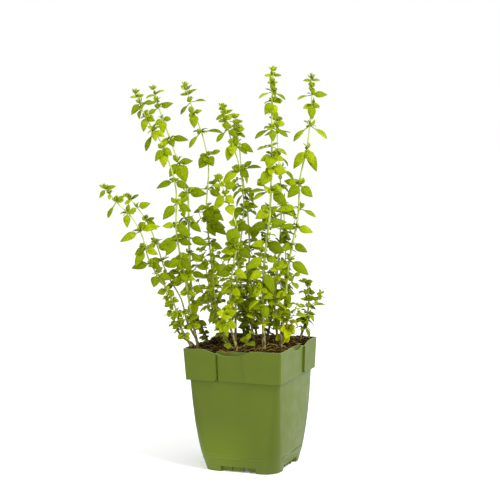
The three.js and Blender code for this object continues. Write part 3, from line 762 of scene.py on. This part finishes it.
# ---------- leaves ----------
# Places along a leaf, stalk and all, and how wide it is there as a share of its widest.
GROWN_OUTLINE = [(0, 0.10), (0.19, 0.10), (0.26, 0.52), (0.37, 0.92), (0.50, 1.0), (0.65, 0.86),
                 (0.81, 0.54), (0.93, 0.22), (1.0, 0.02)]
NARROW_OUTLINE = [(0, 0.16), (0.32, 0.18), (0.44, 0.60), (0.58, 0.95), (0.70, 1.0), (0.82, 0.82),
                  (0.92, 0.42), (1.0, 0.03)]
YOUNG_OUTLINE = [(0, 0.18), (0.14, 0.34), (0.36, 0.90), (0.60, 1.0), (0.84, 0.62), (1.0, 0.06)]
BUD_OUTLINE = [(0, 0.25), (0.30, 0.85), (0.55, 1.0), (0.82, 0.55), (1.0, 0.04)]

# About how wide a leaf is as a share of its length, by age.
GROWN_WIDTH = 0.43
YOUNG_WIDTH = 0.6
NARROW_WIDTH = 0.26

# In millimetres, the length under which a leaf is young, the width under which it is narrow, and
# the length it must then have.
YOUNG_UNDER = 11
NARROW_UNDER = 6
NARROW_OVER = 12

# The tone of the brightest leaves; the darkest have 0.
BRIGHTEST = 1.5


def model_leaf(name, outline, width, fold, stalk_bend, arch, thickness):
    """Models a leaf that reaches one metre along +Y from its root, with its upper side to +Z.

    fold lifts the edges; stalk_bend and arch are the bends down of the stalk and the blade, in
    degrees; thickness is a share of the reach."""
    deselect()
    rows = len(outline)
    bpy.ops.mesh.primitive_grid_add(
        x_subdivisions=2, y_subdivisions=rows - 1, size=1, location=(0, 0.5, 0))
    leaf = added(name)
    settle(leaf)
    for row, (place, share) in enumerate(outline):
        left, middle, right = range(3 * row, 3 * row + 3)
        pick(leaf, (left, middle, right))
        bpy.ops.transform.resize(value=(width * share, 1, 1), center_override=(0, 0, 0))
        bpy.ops.transform.translate(value=(0, place - row / (rows - 1), 0))
        pick(leaf, (left, right))
        bpy.ops.transform.translate(value=(0, 0, width * share * fold))
    for row in range(1, rows - 1):
        joint = tuple(leaf.data.vertices[3 * row + 1].co)
        pick(leaf, range(3 * row + 3, 3 * rows))
        bend = stalk_bend if row == 1 else arch / (rows - 3)
        bpy.ops.transform.rotate(
            value=math.radians(bend), orient_axis="X", orient_type="GLOBAL", center_override=joint)
        bpy.ops.object.mode_set(mode="OBJECT")
    tip = leaf.data.vertices[3 * rows - 2].co
    leaf.data.transform(Matrix.Rotation(-math.atan2(tip.z, tip.y), 4, "X"))
    leaf.data.transform(Matrix.Scale(1 / leaf.data.vertices[3 * rows - 2].co.length, 4))
    upper = len(leaf.data.polygons)
    apply_modifier(leaf, "SOLIDIFY", thickness=thickness, offset=-1)
    mark(leaf, "under", "FACE", [upper <= index < 2 * upper for index in range(len(leaf.data.polygons))])
    mark(leaf, "tone", "POINT", [0] * len(leaf.data.vertices))
    shade_smooth(leaf)
    return leaf


def leaf_set():
    """The leaves that the shoots are dressed with, by age."""
    return {
        "bud": [model_leaf("leaf_bud", BUD_OUTLINE, 0.46, 0.30, -20, -25, 0.05)],
        "young": [model_leaf("leaf_young_flat", YOUNG_OUTLINE, 0.62, 0.18, 5, 15, 0.035),
                  model_leaf("leaf_young_arched", YOUNG_OUTLINE, 0.54, 0.14, 10, 40, 0.035)],
        "narrow": [model_leaf("leaf_narrow", NARROW_OUTLINE, 0.24, 0.25, 4, 22, 0.022)],
        "grown": [model_leaf("leaf_straight", GROWN_OUTLINE, GROWN_WIDTH, 0.16, 8, 14, 0.018),
                  model_leaf("leaf_arched", GROWN_OUTLINE, GROWN_WIDTH * 1.06, 0.12, 15, 40, 0.018),
                  model_leaf("leaf_hanging", GROWN_OUTLINE, GROWN_WIDTH, 0.18, 35, 18, 0.018),
                  model_leaf("leaf_cupped", GROWN_OUTLINE, GROWN_WIDTH * 0.94, 0.26, 12, 28, 0.018)],
    }


# ---------- shoots ----------
def smooth_path(points):
    """Points every few millimetres on a centripetal Catmull-Rom curve through the given ones."""
    ends = [points[0] * 2 - points[1], *points, points[-1] * 2 - points[-2]]
    path = []
    for four in zip(ends, ends[1:], ends[2:], ends[3:]):
        steps = max(2, round((four[2] - four[1]).length / (STEM_STEP * MM)))
        path += [between(four, step / steps) for step in range(steps)]
    return path + [points[-1].copy()]


def between(points, share):
    """A point on the curve between the middle two of four points."""
    knots = [0.0]
    for start, stop in zip(points, points[1:]):
        knots.append(knots[-1] + math.sqrt((stop - start).length))
    at = knots[1] + (knots[2] - knots[1]) * share

    def blend(low, high, start, stop):
        return low.lerp(high, (at - knots[start]) / (knots[stop] - knots[start]))

    first, second, third = (blend(points[k], points[k + 1], k, k + 1) for k in range(3))
    return blend(blend(first, second, 0, 2), blend(second, third, 1, 3), 1, 2)


def shoot_path(shoot):
    x, y = shoot.foot
    points = [(x, y, ROOT_Z), (x, y, SOIL_CROWN - 3), (x, y, SOIL_CROWN + 3), *shoot.path]
    return smooth_path([turned(*point) for point in points])


def stem_radii(shoot, path):
    """Tapers a stem, with swellings where its leaves grow and a woody foot."""
    radii = []
    top = path[-1].z / MM
    for place in path:
        height = place.z / MM
        rise = (top - height) / (top - ROOT_Z)
        swelling = max(0, 1 - min(abs(height - pair) for pair in shoot.pairs) / 4)
        woody = fade(height, *WOOD_FADES)
        share = 0.5 + 0.5 * min(1, rise * 1.8) + 0.2 * swelling + 0.55 * woody
        radii.append(shoot.radius * share)
    return radii


def model_stems(name, runs):
    """Makes one mesh of round stems from (path, radii in millimetres) runs."""
    deselect()
    bpy.ops.curve.primitive_nurbs_path_add(location=(0, 0, 0))
    curve = bpy.context.object.data
    curve.splines.clear()
    for path, radii in runs:
        spline = curve.splines.new("POLY")
        spline.points.add(len(path) - 1)
        for point, place, radius in zip(spline.points, path, radii):
            point.co = (*place, 1)
            point.radius = radius
    curve.dimensions = "3D"
    curve.bevel_depth = MM
    curve.bevel_resolution = 1
    curve.use_fill_caps = True
    bpy.ops.object.convert(target="MESH")
    stems = added(name)
    shade_smooth(stems)
    return stems


def point_at(path, height):
    for low, high in zip(path, path[1:]):
        if low.z <= height <= high.z:
            return low.lerp(high, (height - low.z) / max(high.z - low.z, 1e-9))
    return path[-1].copy()


def leaf_length(rank, size):
    """Leaves grow from buds at the tip to full size, and are a little smaller again low down."""
    return size * min(5 + 3.4 * rank, 19, 33 - 1.4 * rank) * MM


class Dresser:
    """Hangs leaves on one shoot."""

    def __init__(self, shoot, models, dice, scale):
        self.shoot = shoot
        self.models = models
        self.dice = dice
        self.draw = dice.uniform
        self.scale = scale
        self.path = shoot_path(shoot)
        self.leaves = []
        self.runs = [(self.path, stem_radii(shoot, self.path))]

    def hang(self, age, root, reach, face, width, tone):
        """Hangs a leaf of an age. width is a share of its model's own, and tone its brightness."""
        model = self.dice.choice(self.models[age])
        length = reach.length
        place = aimed(root, reach * self.scale, face, length * width * self.scale, length * self.scale)
        tone = clamp(tone + self.shoot.tint, 0, BRIGHTEST)
        self.leaves.append(copy_at(model, place, tone))

    def spread(self, heading, low, high, length):
        """A reach at a heading, lifted by an angle between two in degrees."""
        lift = math.radians(self.draw(low, high))
        return (level(heading) * math.cos(lift) + UP * math.sin(lift)) * length

    def loose(self, root, heading):
        """The way a leaf's top faces: up, out from the stem and the plant, and a little any way."""
        stray = level(self.draw(0, 2 * math.pi)) * self.draw(0, 0.7)
        outward = (root - turned(*PLANT_MIDDLE)) * Vector((1, 1, 0))
        return UP * 0.75 + level(heading) * 0.45 + outward.normalized() * 0.55 + stray

    def tone(self, root):
        """How bright a leaf is: those low down, in the shade of the others, are darker."""
        if root.z < SHADE_TOP * MM:
            return self.draw(0.05, 0.85)
        return self.draw(0.3, 0.9)

    def tip_buds(self, tip, count, size):
        for index in range(count):
            heading = PLANT_TURN + index * GOLDEN_ANGLE + self.draw(-0.3, 0.3)
            reach = self.spread(heading, 62 - 7 * index, 80 - 7 * index, (3 + 0.5 * index) * MM * size)
            root = tip - UP * (0.4 * MM * index)
            self.hang("bud", root, reach, self.loose(tip, heading), 1, 0.95 + self.draw(-0.1, 0.05))

    def seen_leaf(self, root, leaf):
        """Hangs a leaf from its reach across, up and towards the camera, and the width it shows."""
        scale = 1.08 if root.z > LOW_STOREY * MM else 0.92
        across, up, towards, shown = (value * scale for value in leaf)
        reach = turned(across, -towards, up)
        length = reach.length
        share = min(1, shown * MM / (GROWN_WIDTH * length))
        face = UP * (1.05 - share) + turned(0, -1, 0.1).normalized() * share
        tone = self.tone(root)
        if length < YOUNG_UNDER * MM:
            age, width = "young", clamp(shown * MM / length / YOUNG_WIDTH, 0.6, 1.3)
        elif shown < NARROW_UNDER and length > NARROW_OVER * MM:
            age, width = "narrow", max(1, shown * MM / length / NARROW_WIDTH)
        else:
            age, width = "grown", clamp(shown * MM / (GROWN_WIDTH * length), 0.85, 1.5)
        self.hang(age, root, reach, face, width, tone)

    def pair(self, root, rank, heading):
        """Hangs two leaves opposite each other. rank counts the pairs from the tip."""
        length = leaf_length(rank, self.shoot.size)
        for side in (0, math.pi):
            way = heading + side + self.draw(-0.3, 0.3)
            if rank < 3:
                reach = self.spread(way, 30 - 12 * rank, 50 - 12 * rank, length)
                self.hang("young", root, reach, self.loose(root, way), 1, 0.85 + self.draw(-0.1, 0.1))
            else:
                reach = self.spread(way, -58, 5, length * self.draw(0.85, 1.1))
                width = self.draw(0.9, 1.12)
                self.hang("grown", root, reach, self.loose(root, way), width, self.tone(root))

    def axil_leaves(self, root, heading, rank, brightest=0.95):
        """Young leaves in the axils of a pair: small and upright near the tip, larger lower down."""
        if rank < 4:
            count, low, high, shortest, longest = 6, 62 - 17 * rank, 80, 2.8 + 0.9 * rank, 4.4 + 1.2 * rank
        else:
            count, low, high, shortest, longest = self.dice.choice((5, 6, 7)), -30, 60, 4.5, 9.5
        for extra in range(count):
            way = heading + math.pi / 2 * extra + self.draw(-0.7, 0.7)
            reach = self.spread(way, low, high, self.draw(shortest, longest) * MM)
            tone = self.draw(brightest - 0.5, brightest)
            self.hang("young", root, reach, self.loose(root, way), self.draw(0.95, 1.35), tone)

    def side_branch(self, root, heading, length, radius=0.55, brightest=0.9, spacing=7.5):
        """A short leafy branch from a leaf's axil, that curves upwards."""
        out = level(heading)
        tip = root + (out * 0.62 + UP * 0.72) * length
        bend = root + (out * 0.45 + UP * 0.28) * length
        path = smooth_path([root, bend, tip])
        self.runs.append((path, [radius - 0.25 * i / (len(path) - 1) for i in range(len(path))]))
        pairs = max(1, round(length / (spacing * MM)))
        for rank in range(pairs):
            place = path[round((len(path) - 1) * (1 - rank / (pairs + 0.4)))]
            size = min(7.5 + 3.5 * rank, 16) * min(1, self.shoot.size + 0.1)
            size *= self.draw(0.85, 1.2) * MM
            for side in (0, math.pi):
                way = heading + (rank % 2) * math.pi / 2 + math.pi / 4 + side + self.draw(-0.5, 0.5)
                reach = self.spread(way, -50, 20, size)
                age = "grown" if rank > 1 else "young"
                self.hang(age, place, reach, self.loose(place, way), self.draw(1.0, 1.3),
                          self.draw(0, brightest))
        self.tip_buds(tip, 3, 1)

    def foot_sprouts(self):
        """Small leaves on the last of the stem above the mix."""
        height = min(self.shoot.pairs) - 8
        while height > SPROUTS_FROM:
            root = point_at(self.path, height * MM)
            self.axil_leaves(root, self.draw(0, 2 * math.pi), 5, 0.6)
            height -= self.draw(5, 8)

    def dress(self):
        """Hangs every leaf of the shoot."""
        if self.shoot.sprouts:
            self.foot_sprouts()
        for height, heading, length in self.shoot.arms:
            root = point_at(self.path, height * MM)
            self.side_branch(root, PLANT_TURN + math.radians(heading), length * MM, brightest=0.4)
        for fork in range(self.shoot.forks):
            way = PLANT_TURN + math.pi * fork + self.draw(-0.4, 0.4)
            root = point_at(self.path, (SOIL_CROWN + 1) * MM)
            self.side_branch(root, way, 24 * MM, radius=0.85, brightest=0.35, spacing=14)
        self.tip_buds(self.path[-1], 7, 1.1)
        for rank, height in enumerate(self.shoot.pairs):
            root = point_at(self.path, min(height * MM, self.path[-1].z - TIP_MARGIN * MM))
            heading = PLANT_TURN + math.radians(self.shoot.turn + 90 * rank)
            for leaf in self.shoot.seen.get(height, ()):
                self.seen_leaf(root, leaf)
            if height not in self.shoot.seen:
                self.pair(root, rank, heading)
            self.axil_leaves(root, heading, rank)
            if rank >= 5 and height < BRANCHING_TOP or rank >= 3 and height < DENSE_TOP:
                low = fade(height, *BRANCHES_FADE)
                for side in (0, math.pi):
                    if self.dice.random() < (0.3 + 0.4 * low) * self.shoot.bushy:
                        way = heading + side + self.draw(-0.6, 0.6)
                        self.side_branch(root, way, self.draw(9, 18 + 12 * low) * MM)


class BuildShoots(bpy.types.Operator):
    """Grows every shoot: its stem, its branches, its leaves and its buds"""
    bl_idname = "oregano.shoots"
    bl_label = "Shoots"

    def execute(self, context):
        settings = context.scene.oregano_shoots
        models = leaf_set()
        leaf_material = leaf_finish(settings)
        stem_material = stem_finish(settings)
        for number, (name, shoot) in enumerate(SHOOTS.items()):
            dresser = Dresser(shoot, models, random.Random(number + 11), settings.leaf_size)
            dresser.dress()
            leaves = join(dresser.leaves, name + "_leaves")
            finish_piece(leaves, leaf_material, "foliage", name)
            stems = model_stems(name + "_stems", dresser.runs)
            mark(stems, "bark", "POINT", [shoot.bark] * len(stems.data.vertices))
            finish_piece(stems, stem_material, "foliage", name)
        for model in sum(models.values(), []):
            remove(model)
        return {"FINISHED"}


# ---------- pot ----------
def cut_gaps(pot):
    """Cuts the thin gap beside the proud block on each side of the band."""
    middle = (BAND_BOTTOM + GAP_TOP) / 2
    surface = BAND_BOTTOM_HALF + BAND_FLARE * (middle - BAND_BOTTOM) - STEP_DEPTH
    cut_sides(
        pot, (GAP_WIDTH, 2 * GAP_DEPTH, GAP_TOP - BAND_BOTTOM + 2), GAP_WIDTH / 2 - STEP_AT,
        surface, middle - 1, lean=math.atan(BAND_FLARE))


def sharpen_band(pot):
    """Keeps even the slightest ramps on the flat-sided band crisp."""
    shell = bmesh.new()
    shell.from_mesh(pot.data)
    for edge in shell.edges:
        in_band = min(vertex.co.z for vertex in edge.verts) > (BAND_BOTTOM - 0.5) * MM
        if in_band and edge.calc_face_angle(0) > CRISP_OVER:
            edge.smooth = False
    shell.to_mesh(pot.data)
    shell.free()


def highlight_share(mesh, polygon):
    """How much painted highlight a face gets: fully on top of the rim, and a little on the moulded lines.
    """
    if polygon.normal.z > 0.25 and polygon.center.z > RIM_FROM * MM:
        return 1
    heights = [mesh.vertices[index].co.z / MM for index in polygon.vertices]
    low, high = MOULD_LINE - MOULD_REACH, MOULD_LINE + MOULD_REACH
    return 0.3 if low < min(heights) and max(heights) < high else 0


def in_step(place):
    """Whether a place, in millimetres, is on the step or in the gap beside a proud block."""
    outward, along = (place.x, place.y) if abs(place.x) > abs(place.y) else (place.y, place.x)
    along = -math.copysign(along, along * outward)
    return BAND_BOTTOM < place.z < RIM_FROM and -STEP_AT - 4 < along < -STEP_AT + GAP_WIDTH + 0.2


class BuildPot(bpy.types.Operator):
    """Finishes the moulded pot: rounded edges and green plastic"""
    bl_idname = "oregano.pot"
    bl_label = "Pot"

    def execute(self, context):
        settings = context.scene.oregano_pot
        pot = bpy.data.objects.new("pot_shell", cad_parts["pot"].data.copy())
        context.collection.objects.link(pot)
        edit_all(pot)
        bpy.ops.mesh.remove_doubles(threshold=0.002 * MM)
        bpy.ops.mesh.dissolve_limited(angle_limit=math.radians(1))
        bpy.ops.object.mode_set(mode="OBJECT")
        cut_gaps(pot)
        apply_modifier(
            pot, "BEVEL", width=settings.edge, segments=2, limit_method="ANGLE",
            angle_limit=ROUND_OVER, use_clamp_overlap=True)
        shade_smooth(pot, SMOOTH_UNDER)
        sharpen_band(pot)
        # Painted highlight: faces on top of the rim and on the moulded lines are lighter.
        mark(pot, "painted_highlight", "FACE", [highlight_share(pot.data, polygon) for polygon in pot.data.polygons])
        mark(pot, "shaded", "FACE", [in_step(polygon.center / MM) for polygon in pot.data.polygons])
        finish_piece(pot, pot_finish(settings), "pot", "pot")
        return {"FINISHED"}


# ---------- potting mix ----------
def model_mix(lumps):
    """A lumpy mound on a block that tapers with the pot."""
    deselect()
    bpy.ops.mesh.primitive_grid_add(
        x_subdivisions=MIX_STEPS, y_subdivisions=MIX_STEPS, size=2 * MIX_HALF * MM,
        location=(0, 0, MIX_EDGE * MM))
    mix = added("potting_mix_block")
    settle(mix)
    for vertex in mix.data.vertices:
        out = max(abs(vertex.co.x), abs(vertex.co.y)) / (MIX_HALF * MM)
        far = max(0, vertex.co.y, -vertex.co.x) / (MIX_HALF * MM)
        vertex.co.z += ((MIX_CROWN - MIX_EDGE) * (1 - out * out) + MIX_HEAP * far * far) * MM
    lumpy = bpy.data.textures.new("lumps", "CLOUDS")
    lumpy.noise_scale = 9 * MM
    lumpy.noise_depth = 4
    apply_modifier(
        mix, "DISPLACE", texture=lumpy, texture_coords="LOCAL", direction="Z", mid_level=0.5,
        strength=lumps)
    for height, half in MIX_BLOCK:
        pick_border(mix)
        bpy.ops.mesh.extrude_region_move()
        bpy.ops.object.mode_set(mode="OBJECT")
        for vertex in mix.data.vertices:
            if vertex.select:
                vertex.co *= half * MM / max(abs(vertex.co.x), abs(vertex.co.y))
                vertex.co.z = height * MM
    pick_border(mix)
    bpy.ops.mesh.edge_face_add()
    face_outwards()
    _, depth, height = LIP_ROOM
    cut_sides(mix, LIP_ROOM, LIP_MIDDLE, LIP_INSIDE + depth / 2, LIP_TOP - height / 2)
    shade_smooth(mix, MIX_SMOOTH_UNDER)
    return mix


def surface_points(mix):
    """Places on top of the mix, away from the pot's walls, where crumbs can lie."""
    inside = (MIX_HALF - CRUMBS_FROM_EDGE) * MM
    return [vertex.co.copy() for vertex in mix.data.vertices
            if vertex.co.z > STREWN_OVER * MM
            and max(abs(vertex.co.x), abs(vertex.co.y)) < inside]


def strew_coir(tops, count):
    """Strands that arch a little over the mix, each bent its own way."""
    dice = random.Random(5)
    steps = 8
    limit = (MIX_HALF - COIR_FROM_EDGE) * MM
    runs = []
    for _ in range(count):
        start = dice.choice(tops).copy()
        heading = dice.uniform(0, 2 * math.pi)
        bend = dice.uniform(-0.35, 0.35)
        length = dice.uniform(5, 30) * MM
        arch = dice.uniform(0.1, 2.2) * MM
        path = []
        for step in range(steps):
            place = start.copy()
            place.z += 0.2 * MM + arch * math.sin(math.pi * step / (steps - 1))
            path.append(place)
            start += level(heading) * length / (steps - 1)
            start.x, start.y = (clamp(value, -limit, limit) for value in start.xy)
            start.z = min(tops, key=lambda top: (top.xy - start.xy).length_squared).z
            heading += bend + dice.uniform(-0.1, 0.1)
        thickness = dice.uniform(0.1, 0.27)
        runs.append((path, [thickness] * steps))
    strands = model_stems("coir_strands", runs)
    each = len(strands.data.vertices) // len(runs)
    mark(strands, "tone", "POINT", [tone for _ in runs for tone in [dice.random() ** 1.6] * each])
    return strands


def strew_bark(tops, count):
    """Crumbs of bark: one is modelled, then copied."""
    deselect()
    dice = random.Random(8)
    bpy.ops.mesh.primitive_ico_sphere_add(subdivisions=1, radius=0.5)
    crumb = added("bark_crumb")
    for corner in BLUNTED_CORNERS:
        pick(crumb, [corner])
        bpy.ops.transform.resize(value=(0.72, 0.72, 0.8), center_override=(0, 0, 0))
    bpy.ops.object.mode_set(mode="OBJECT")
    mark(crumb, "tone", "POINT", [0] * len(crumb.data.vertices))
    crumbs = []
    for _ in range(count):
        spot = dice.choice(tops)
        size = dice.uniform(1, 3.8) * MM
        way = level(dice.uniform(0, 2 * math.pi)) + UP * dice.uniform(-0.4, 0.4)
        place = aimed(spot, way.normalized() * size, UP, size * dice.uniform(0.4, 0.8),
                      size * dice.uniform(0.3, 0.7))
        crumbs.append(copy_at(crumb, place, dice.random() ** 2))
    remove(crumb)
    return join(crumbs, "bark_crumbs")


class BuildMix(bpy.types.Operator):
    """Fills the pot with lumpy potting mix, and strews coir and bark crumbs on it"""
    bl_idname = "oregano.mix"
    bl_label = "Potting mix"

    def execute(self, context):
        settings = context.scene.oregano_mix
        mix = model_mix(settings.lumps)
        tops = surface_points(mix)
        finish_piece(mix, mix_finish(settings), "potting_mix", "potting_mix")
        tan = strand_finish("coir", dark=(0.015, 0.008, 0.002), pale=(0.33, 0.21, 0.055))
        finish_piece(strew_coir(tops, settings.fibres), tan, "potting_mix")
        brown = strand_finish("bark_crumb", dark=(0.005, 0.003, 0.001), pale=(0.10, 0.055, 0.018))
        finish_piece(strew_bark(tops, settings.crumbs), brown, "potting_mix")
        return {"FINISHED"}


# ---------- stage ----------
def add_floor():
    deselect()
    bpy.ops.mesh.primitive_circle_add(vertices=64, radius=FLOOR_RADIUS, fill_type="NGON")
    floor = added("floor")
    edit_all(floor)
    bpy.ops.mesh.extrude_region_move(TRANSFORM_OT_translate={"value": (0, 0, -FLOOR_DEPTH)})
    face_outwards()
    dress(floor, stage_finish())


def add_lamp(name, place, size, power):
    deselect()
    bpy.ops.object.light_add(type="AREA", location=turned(*place))
    lamp = added(name)
    lamp.data.shape = "DISK"
    lamp.data.size = size * MM
    lamp.data.energy = power
    aim = turned(0, 0, LAMPS_AIM) - lamp.location
    lamp.rotation_euler = aim.to_track_quat("-Z", "Y").to_euler()


def add_camera(context):
    deselect()
    bpy.ops.object.camera_add()
    camera = added("camera")
    camera.matrix_world = (
        Matrix.Rotation(PLANT_TURN, 4, "Z")
        @ Matrix.Translation(Vector(CAMERA_PLACE) * MM)
        @ Matrix.Rotation(math.pi / 2 - CAMERA_DOWN, 4, "X")
        @ Matrix.Rotation(CAMERA_ROLL, 4, "Z"))
    camera.data.sensor_width = SENSOR
    camera.data.sensor_fit = "HORIZONTAL"
    camera.data.lens = FOCAL_PIXELS * SENSOR / FRAME_PIXELS
    camera.data.clip_start = 0.05
    context.scene.camera = camera


class BuildStage(bpy.types.Operator):
    """Sets up the pale floor, the pale surroundings, the soft light and the camera"""
    bl_idname = "oregano.stage"
    bl_label = "Stage"

    def execute(self, context):
        add_floor()
        world = bpy.data.worlds.new("soft_white")
        world.use_nodes = True
        background = world.node_tree.nodes["Background"]
        background.inputs["Color"].default_value = (1, 1, 1, 1)
        background.inputs["Strength"].default_value = 1.0
        context.scene.world = world
        add_lamp("key_light", place=(700, -700, 1100), size=500, power=22)
        add_lamp("fill_light", place=(-900, -900, 700), size=600, power=4)
        context.scene.view_settings.view_transform = "Standard"
        add_camera(context)
        return {"FINISHED"}


# ---------- panel and registration ----------
class OreganoPanel(bpy.types.Panel):
    """Lists the operators and their settings"""
    bl_idname = "VIEW3D_PT_oregano"
    bl_label = "Potted oregano"
    bl_space_type = "VIEW_3D"
    bl_region_type = "UI"
    bl_category = "Oregano"

    def draw(self, context):
        scene = context.scene
        for operator, group in ((BuildStage, None), (BuildPot, scene.oregano_pot),
                                (BuildMix, scene.oregano_mix), (BuildShoots, scene.oregano_shoots)):
            box = self.layout.box()
            box.operator(operator.bl_idname)
            for key in (group.__annotations__ if group else ()):
                box.prop(group, key)


SETTINGS = {"oregano_pot": PotSettings, "oregano_mix": MixSettings, "oregano_shoots": ShootSettings}
CLASSES = (*SETTINGS.values(), BuildStage, BuildPot, BuildMix, BuildShoots, OreganoPanel)


def register():
    for kind in CLASSES:
        bpy.utils.register_class(kind)
    for name, kind in SETTINGS.items():
        setattr(bpy.types.Scene, name, PointerProperty(type=kind))


def unregister():
    for name in SETTINGS:
        delattr(bpy.types.Scene, name)
    for kind in reversed(CLASSES):
        bpy.utils.unregister_class(kind)


def main():
    register()
    bpy.ops.oregano.stage()
    bpy.ops.oregano.pot()
    bpy.ops.oregano.mix()
    bpy.ops.oregano.shoots()


if __name__ == "__main__":
    main()
